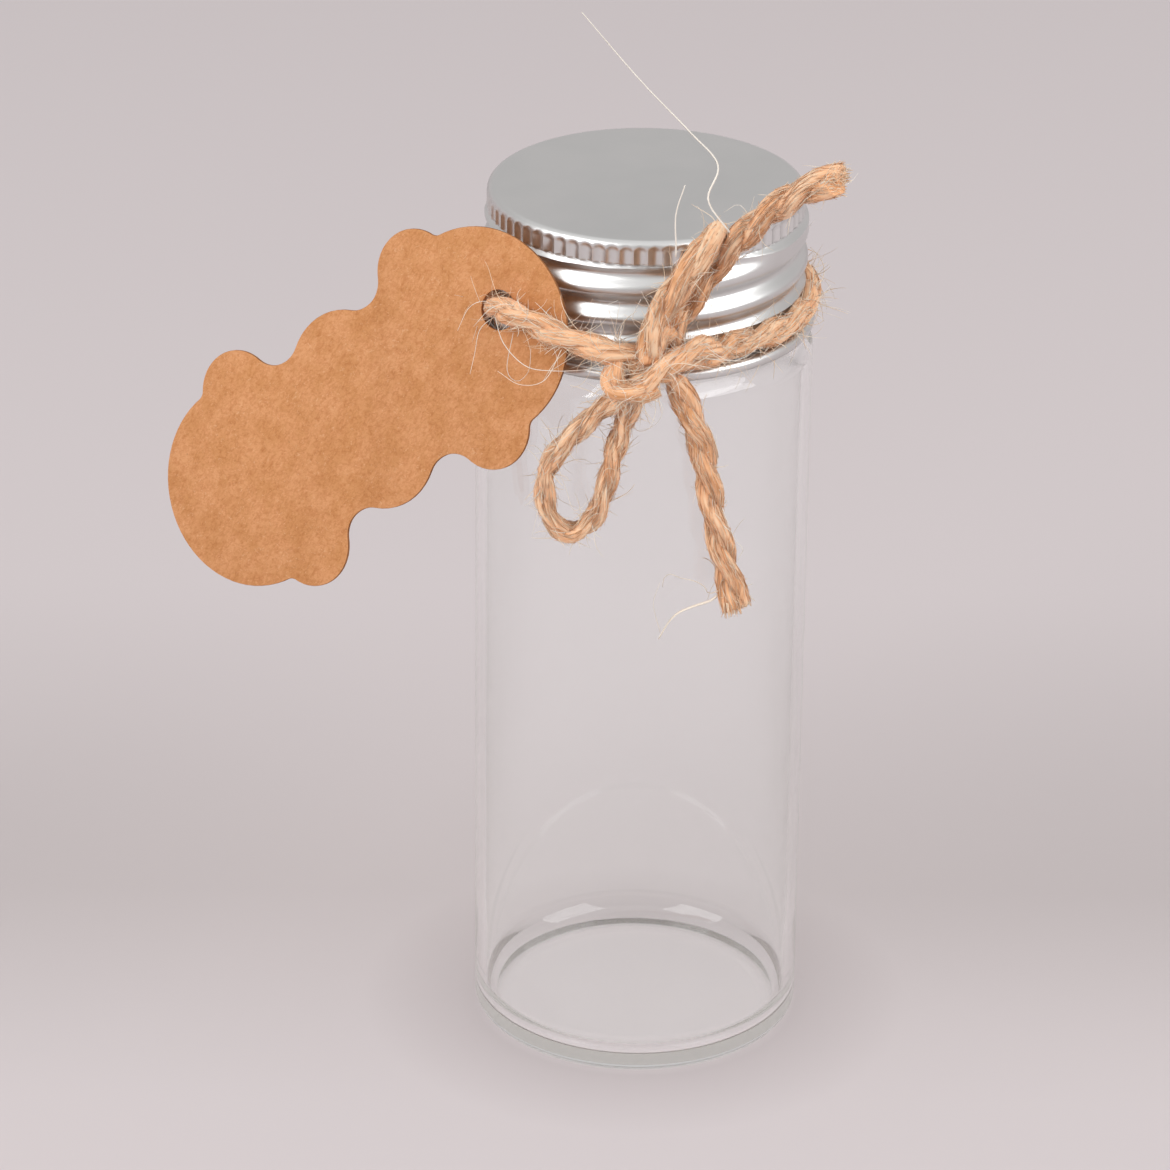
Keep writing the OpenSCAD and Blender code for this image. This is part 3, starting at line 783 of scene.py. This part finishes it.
class StageSizes(bpy.types.PropertyGroup):
    """Floor, lamps and camera."""
    near_hex: bpy.props.StringProperty(
        name="Paper colour in front", description="Floor near the camera", default="#D2C9CA")
    # Painted shade: the darker band on the floor behind the base
    painted_cove_shade_hex: bpy.props.StringProperty(
        name="Painted shade behind", description="Painted shade on the floor just behind the base", default="#C6BDBD")
    far_hex: bpy.props.StringProperty(
        name="Paper colour far back", description="Floor further back", default="#D3CACB")
    lamp_power: bpy.props.FloatProperty(
        name="Lamp power", description="Power of each soft box", default=11.0, min=0.0,
        unit="POWER")
    room_light: bpy.props.FloatProperty(
        name="Room light", description="Strength of the even light of the room", default=0.55,
        min=0.0)


class BOTTLE_OT_glass(bpy.types.Operator):
    """Turn the glass bottle and raise the thread on its neck"""
    bl_idname = "bottle.glass"
    bl_label = "Glass Bottle"

    def execute(self, context):
        settings = context.scene.bottle_sizes
        wall, floor = settings.wall / MM, settings.floor / MM
        heel, neck, bore, rim = 2.0, 20.65, 18.85, 0.6
        shoulder_top = GLASS_H - 19
        round_r = BODY_R - neck - 0.5
        shoulder = shoulder_top - round_r - 0.5
        inside_r, inside_heel, inside_round = BODY_R - wall, heel + 2.4, BODY_R - wall - bore
        profile = straight((0, 0), (BODY_R - heel, 0), 3)
        profile += arc((BODY_R - heel, heel), heel, -90, 0, 14)
        profile += straight((BODY_R, heel), (BODY_R, shoulder), 12)[1:]
        profile += arc((BODY_R - round_r, shoulder), round_r, 0, 90, 12)
        profile += arc((neck + 0.5, shoulder_top), 0.5, 270, 180, 6)
        profile += straight((neck, shoulder_top), (neck, GLASS_H - rim), 0.28)[1:]
        profile += arc((neck - rim, GLASS_H - rim), rim, 0, 90, 7)
        profile += arc((bore + rim, GLASS_H - rim), rim, 90, 180, 7)
        low_neck = shoulder - inside_round * 0.3
        profile += straight((bore, GLASS_H - rim), (bore, low_neck + inside_round), 2)[1:]
        profile += arc((bore, low_neck), inside_round, 90, 0, 12)
        profile += straight((inside_r, low_neck), (inside_r, floor + inside_heel), 12)[1:]
        profile += arc((inside_r - inside_heel, floor + inside_heel), inside_heel, 0, -90, 20)
        flat = inside_r - inside_heel
        profile += [(flat * (1 - i / 9), floor + 0.9 * (1 - (1 - i / 9) ** 2))
                    for i in range(1, 10)]
        piece = turned("glass_bottle", profile, 256)
        # The glass thread starts half a turn above the cap's ridge, with a little play
        start_z = groove_start(PITCH) + PITCH / 2 - 0.25

        def thread(radius, angle, height):
            share = helix_share(angle, height, start_z, PITCH, RIDGE_TURNS, RIDGE_HALF)
            outer = (radius > neck - 0.05) & (radius < neck + 0.05)
            return np.where(outer & (height > shoulder_top + 0.5), radius + RIDGE_HEIGHT * share,
                            radius)

        reshape(piece, thread)
        smooth(piece, 40)
        piece.data.materials.append(clear_glass(settings))
        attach(piece, "bottle")
        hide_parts("bottle")
        return {"FINISHED"}


class BOTTLE_OT_cap(bpy.types.Operator):
    """Draw the cap, flute its grip band and roll the thread into its skirt"""
    bl_idname = "bottle.cap"
    bl_label = "Screw Cap"

    def execute(self, context):
        settings = context.scene.cap_sizes
        sheet, pitch, depth = 0.3, settings.pitch / MM, settings.tooth_depth / MM
        top, lip, edge = CAP_TOP, LIP_Z, 1.1
        skirt, bead, grip, curl = 21.85, 22.45, 21.95, 0.95
        waist, inner_grip = 21.5, 21.25
        knurl_top, knurl_low = top - 0.4, top - GRIP_LOW
        bead_top, seat = knurl_low - 0.9, lip + 5.8
        profile = straight((0, top), (grip - edge, top), 3.5)
        profile += arc((grip - edge, top - edge), edge, 90, 0, 8)
        profile += straights([
            ((grip, top - edge), 0.22), ((grip, knurl_low + 0.3), 0.15),
            ((waist, knurl_low), 0.15), ((skirt, knurl_low - 0.4), 0.2), ((bead, bead_top), 0.2),
            ((bead, seat + 0.5), 0.2), ((skirt, seat), 0.25),
            ((skirt, lip + 2 * curl - 0.25), 0)])[1:]
        profile += arc((skirt + curl - 0.1, lip + curl), curl, 150, -170, 18)
        inner = skirt - sheet
        profile += straights([
            ((inner, lip + curl), 0.8), ((inner, seat), 0.36),
            ((bead - sheet, seat + 0.5), 0.36), ((bead - sheet, bead_top), 0.4),
            ((inner_grip, knurl_low), 0.8), ((inner_grip, top - sheet), 5),
            ((0, top - sheet), 0)])
        profile.append((0, top - sheet))
        start_z = groove_start(pitch)
        piece = turned("screw_cap", profile, settings.teeth * 8)

        def roll(radius, angle, height):
            groove = helix_share(angle, height, start_z, pitch, GROOVE_TURNS, GROOVE_HALF)
            middle = np.interp(height, [seat, seat + 0.5, bead_top, bead_top + 0.5],
                               [skirt - 0.15, bead - 0.15, bead - 0.15, skirt - 0.15])
            outer = radius > middle
            limit = bead - GROOVE_DEPTH * groove - np.where(outer, 0.0, sheet)
            skirted = (height < knurl_low - 0.02) & (height > lip + 2 * curl + 0.05)
            shaped = np.where(skirted & (groove > 0), np.minimum(radius, limit), radius)
            # Each flute is a scoop with an arched top and foot
            across = np.abs((angle * settings.teeth / 360) % 1 - 0.5) * 2
            above = np.clip((height - knurl_top + 1.15) / 0.95, 0, None)
            below = np.clip((knurl_low + 0.45 - height) / 0.5, 0, None)
            reach = np.clip(np.sqrt(across ** 2 + above ** 2 + below ** 2), 0, 1)
            flute = 1 - reach ** 2
            band = (height > knurl_low) & (height < top - 0.02) & (radius > inner_grip + 0.05)
            return np.where(band, shaped - depth * flute, shaped)

        reshape(piece, roll)
        smooth(piece, 50)
        piece.data.materials.append(rolled_aluminium(settings))
        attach(piece, "cap")
        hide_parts("cap_shell")
        return {"FINISHED"}


class BOTTLE_OT_liner(bpy.types.Operator):
    """Give the sealing liner its foam"""
    bl_idname = "bottle.liner"
    bl_label = "Sealing Liner"

    def execute(self, context):
        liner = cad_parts["liner"]
        foam = liner_foam()
        liner.data.materials.clear()
        liner.data.materials.append(foam)
        return {"FINISHED"}


class BOTTLE_OT_tag(bpy.types.Operator):
    """Cut the wavy card tag and soften its die-cut edges"""
    bl_idname = "bottle.tag"
    bl_label = "Card Tag"

    def execute(self, context):
        settings = context.scene.tag_colours
        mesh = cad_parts["tag"].data.copy()
        mesh.name = "kraft_tag"
        mesh.materials.clear()
        piece = bpy.data.objects.new("kraft_tag", mesh)
        context.collection.objects.link(piece)
        activate(piece)
        bpy.ops.object.mode_set(mode="EDIT")
        bpy.ops.mesh.select_all(action="SELECT")
        bpy.ops.mesh.remove_doubles(threshold=0.001 * MM)
        bpy.ops.mesh.dissolve_limited(angle_limit=math.radians(1.0))
        bpy.ops.object.mode_set(mode="OBJECT")
        bevel = piece.modifiers.new("pressed_edge", "BEVEL")
        bevel.width = 0.11 * MM
        bevel.segments = 2
        bevel.limit_method = "ANGLE"
        bevel.angle_limit = math.radians(50)
        bpy.ops.object.modifier_apply(modifier=bevel.name)
        piece.data.materials.append(kraft_card(settings))
        piece.data.materials.append(kraft_card(settings, cut_edge=True))
        face = max(piece.data.polygons, key=lambda p: p.area).normal.copy()
        for polygon in piece.data.polygons:
            polygon.material_index = int(abs(polygon.normal.dot(face)) < 0.5)
        smooth(piece, 35)
        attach(piece, "tag")
        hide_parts("tag")
        return {"FINISHED"}


class BOTTLE_OT_twine(bpy.types.Operator):
    """Lay the jute twine round the cap, through the tag and into its bow"""
    bl_idname = "bottle.twine"
    bl_label = "Jute Twine"

    def execute(self, context):
        settings = context.scene.twine_sizes
        jute_fibre(settings)
        jute_fibre(settings, stray=True)
        ring = arc((0, 0), BAND_R, -60, 180, 20)
        band = BAND_IN + [(x, y, BAND_Z) for x, y in ring] + BAND_OUT
        # Each cord: its name, the node it stands for, its route, a seed, how loose it lies,
        # how many strays it has, how far they reach, its end, its stiffness and its lay
        for (name, node, points, seed, loose, strays, reach, far_end, stiffness, lay) in (
                ("twine_band_round_cap", "twine_band", band, 11,
                 ((0, 0.0), (-34, 0.2), (-28, 1.5), (-22, 1.5), (-6, 1.1), (0, 0.5)),
                 ((0, 7.0), (14, 6.0), (40, 2.0), (-34, 2.0), (-26, 4.0), (-18, 16.0),
                  (0, 18.0)), 2.3, "object", "limp", "taut"),
                ("twine_lower_ear", "twine_lower_loop", LOWER_LOOP, 5, ((0, 0.2), (20, 0.05)),
                 ((0, 20.0), (14, 14.0)), 1.7, "object", "medium", "hanging"),
                ("twine_upper_ear", "twine_upper_loop", UPPER_LOOP, 23, ((0, 0.5), (20, 0.7)),
                 ((0, 18.0), (12, 12.0)), 1.8, "object", "medium", "loose"),
                ("twine_upper_end", "twine_upper_tail", UPPER_TAIL, 31, ((0, 0.5), (30, 0.9)),
                 ((0, 14.0), (30, 8.0)), 1.5, "bare", "medium", "loose"),
                ("twine_lower_end", "twine_lower_tail", LOWER_TAIL, 47,
                 ((0, 0.1), (-10, 0.1), (0, 0.7)), ((0, 9.0), (-6, 7.0)), 1.4, "bare", "medium",
                 "hanging")):
            rng = random.Random(seed)
            bare, is_band = far_end == "bare", points is band
            piece, [(line, plies, length)] = twine_piece(
                name, [points], settings, rng, loose=loose, open_end=OPEN_END if bare else 0.0,
                flat=round_band if is_band else None)
            fibres = fibre_tubes(plies, length, rng, BAND_FIBRES if is_band else BOW_FIBRES,
                                 strays, reach)
            if bare:
                fibres += frayed_end(plies, carried_frame(line)[0][-1], rng)
            dress_twine(piece, node, fibres)
        rng = random.Random(3)
        knot, strands = twine_piece("bow_knot", KNOT_STRANDS, settings, rng, loose=((0, 0.3),))
        fibres = []
        for _, plies, length in strands:
            fibres += fibre_tubes(plies, length, rng, BOW_FIBRES, ((0, 20.0),), 2.3)
        for thick, points in LONG_HAIRS:
            line = smooth_route(points, 0.6)
            fibres.append((line, np.linspace(thick, thick * 0.55, len(line)),
                           rng.uniform(*HAIR_TINT), rng.uniform(0, 99), 0.0))
        dress_twine(knot, "twine_knot", fibres)
        return {"FINISHED"}


class BOTTLE_OT_stage(bpy.types.Operator):
    """Set the paper floor, the soft boxes, the room's light and the camera"""
    bl_idname = "bottle.stage"
    bl_label = "Stage"

    def execute(self, context):
        settings = context.scene.stage_sizes
        deselect()
        bpy.ops.mesh.primitive_plane_add(size=8, location=(0, 0, -0.05 * MM))
        floor = context.object
        floor.name = "paper_floor"
        floor.data.materials.append(studio_paper(settings))
        for name, place, size in (("soft_box_left", (-1.02, -0.68, 0.95), (1.0, 1.0)),
                                  ("soft_box_right", (1.05, -0.62, 0.95), (1.1, 1.0))):
            aim = (Vector((0, 0, 0.06)) - Vector(place)).to_track_quat("-Z", "Y").to_euler()
            bpy.ops.object.light_add(type="AREA", location=place, rotation=aim)
            lamp = context.object
            lamp.name = name
            lamp.data.shape = "RECTANGLE"
            lamp.data.size, lamp.data.size_y = size
            lamp.data.energy = settings.lamp_power
        self.room(context, settings)
        self.camera(context)
        context.scene.view_settings.view_transform = "Standard"
        return {"FINISHED"}

    @staticmethod
    def room(context, settings):
        """Even light; what the camera, metal and glass see of the room is the paper's tone."""
        world = bpy.data.worlds.new("room")
        context.scene.world = world
        world.use_nodes = True
        tree = world.node_tree
        tree.nodes.clear()
        path = add_node(tree, "ShaderNodeLightPath").outputs
        seen = calculated(tree, "MAXIMUM", path["Is Camera Ray"], path["Is Glossy Ray"])
        seen = calculated(tree, "MAXIMUM", seen, path["Is Transmission Ray"])
        height = add_node(tree, "ShaderNodeSeparateXYZ", {
            "Vector": add_node(tree, "ShaderNodeTexCoord").outputs["Generated"]}).outputs["Z"]
        # Grey walls with a bright ceiling, as the metal shows them
        walls = ramp(tree, height, [(0.0, "#D8D0D0"), (0.25, "#C8C6C6"), (0.6, "#C3C2C1"),
                                    (0.9, "#F4F4F4")])
        even, shown = (add_node(tree, "ShaderNodeBackground", {"Color": colour, "Strength": power}
                                ).outputs["Background"]
                       for colour, power in ((linear("#FFFFFF"), settings.room_light),
                                             (walls, 1.0)))
        finish_tree(tree, mixed_shader(tree, seen, even, shown), "ShaderNodeOutputWorld")

    @staticmethod
    def camera(context):
        """The camera that was fitted to the photo's edges: its heading, tilt and roll."""
        turn, tilt, roll = math.radians(0.289), math.radians(25.696), math.radians(0.584)
        ahead = Vector((math.sin(turn) * math.cos(tilt), math.cos(turn) * math.cos(tilt),
                        -math.sin(tilt)))
        level = Vector((math.cos(turn), -math.sin(turn), 0))
        up = level.cross(ahead)
        across = level * math.cos(roll) + up * math.sin(roll)
        rise = up * math.cos(roll) - level * math.sin(roll)
        turned_to = Matrix((across, rise, -ahead)).transposed().to_euler()
        bpy.ops.object.camera_add(location=(-0.01141, -0.69834, 0.40267), rotation=turned_to)
        camera = context.object
        camera.name = "camera"
        camera.data.sensor_width = 36
        camera.data.sensor_fit = "HORIZONTAL"
        camera.data.angle = math.radians(12.252)
        camera.data.clip_start = 0.01
        context.scene.camera = camera


class BOTTLE_PT_pieces(bpy.types.Panel):
    """Lists the bottle's pieces and their sizes"""
    bl_idname = "BOTTLE_PT_pieces"
    bl_label = "Message Bottle"
    bl_space_type = "VIEW_3D"
    bl_region_type = "UI"
    bl_category = "Bottle"

    def draw(self, context):
        layout = self.layout
        scene = context.scene
        for operator, group in (("bottle.glass", scene.bottle_sizes),
                                ("bottle.cap", scene.cap_sizes), ("bottle.liner", None),
                                ("bottle.tag", scene.tag_colours),
                                ("bottle.twine", scene.twine_sizes),
                                ("bottle.stage", scene.stage_sizes)):
            box = layout.box()
            box.operator(operator)
            for key in group.__annotations__ if group else ():
                box.prop(group, key)


GROUPS = (("bottle_sizes", BottleSizes), ("cap_sizes", CapSizes), ("tag_colours", TagColours),
          ("twine_sizes", TwineSizes), ("stage_sizes", StageSizes))
CLASSES = (BOTTLE_OT_glass, BOTTLE_OT_cap, BOTTLE_OT_liner, BOTTLE_OT_tag, BOTTLE_OT_twine,
           BOTTLE_OT_stage, BOTTLE_PT_pieces)


def register():
    for name, group in GROUPS:
        bpy.utils.register_class(group)
        setattr(bpy.types.Scene, name, bpy.props.PointerProperty(type=group))
    for cls in CLASSES:
        bpy.utils.register_class(cls)


def unregister():
    for cls in reversed(CLASSES):
        bpy.utils.unregister_class(cls)
    for name, group in reversed(GROUPS):
        delattr(bpy.types.Scene, name)
        bpy.utils.unregister_class(group)


def main():
    register()
    bpy.ops.bottle.stage()
    bpy.ops.bottle.glass()
    bpy.ops.bottle.cap()
    bpy.ops.bottle.liner()
    bpy.ops.bottle.tag()
    bpy.ops.bottle.twine()


if __name__ == "__main__":
    main()
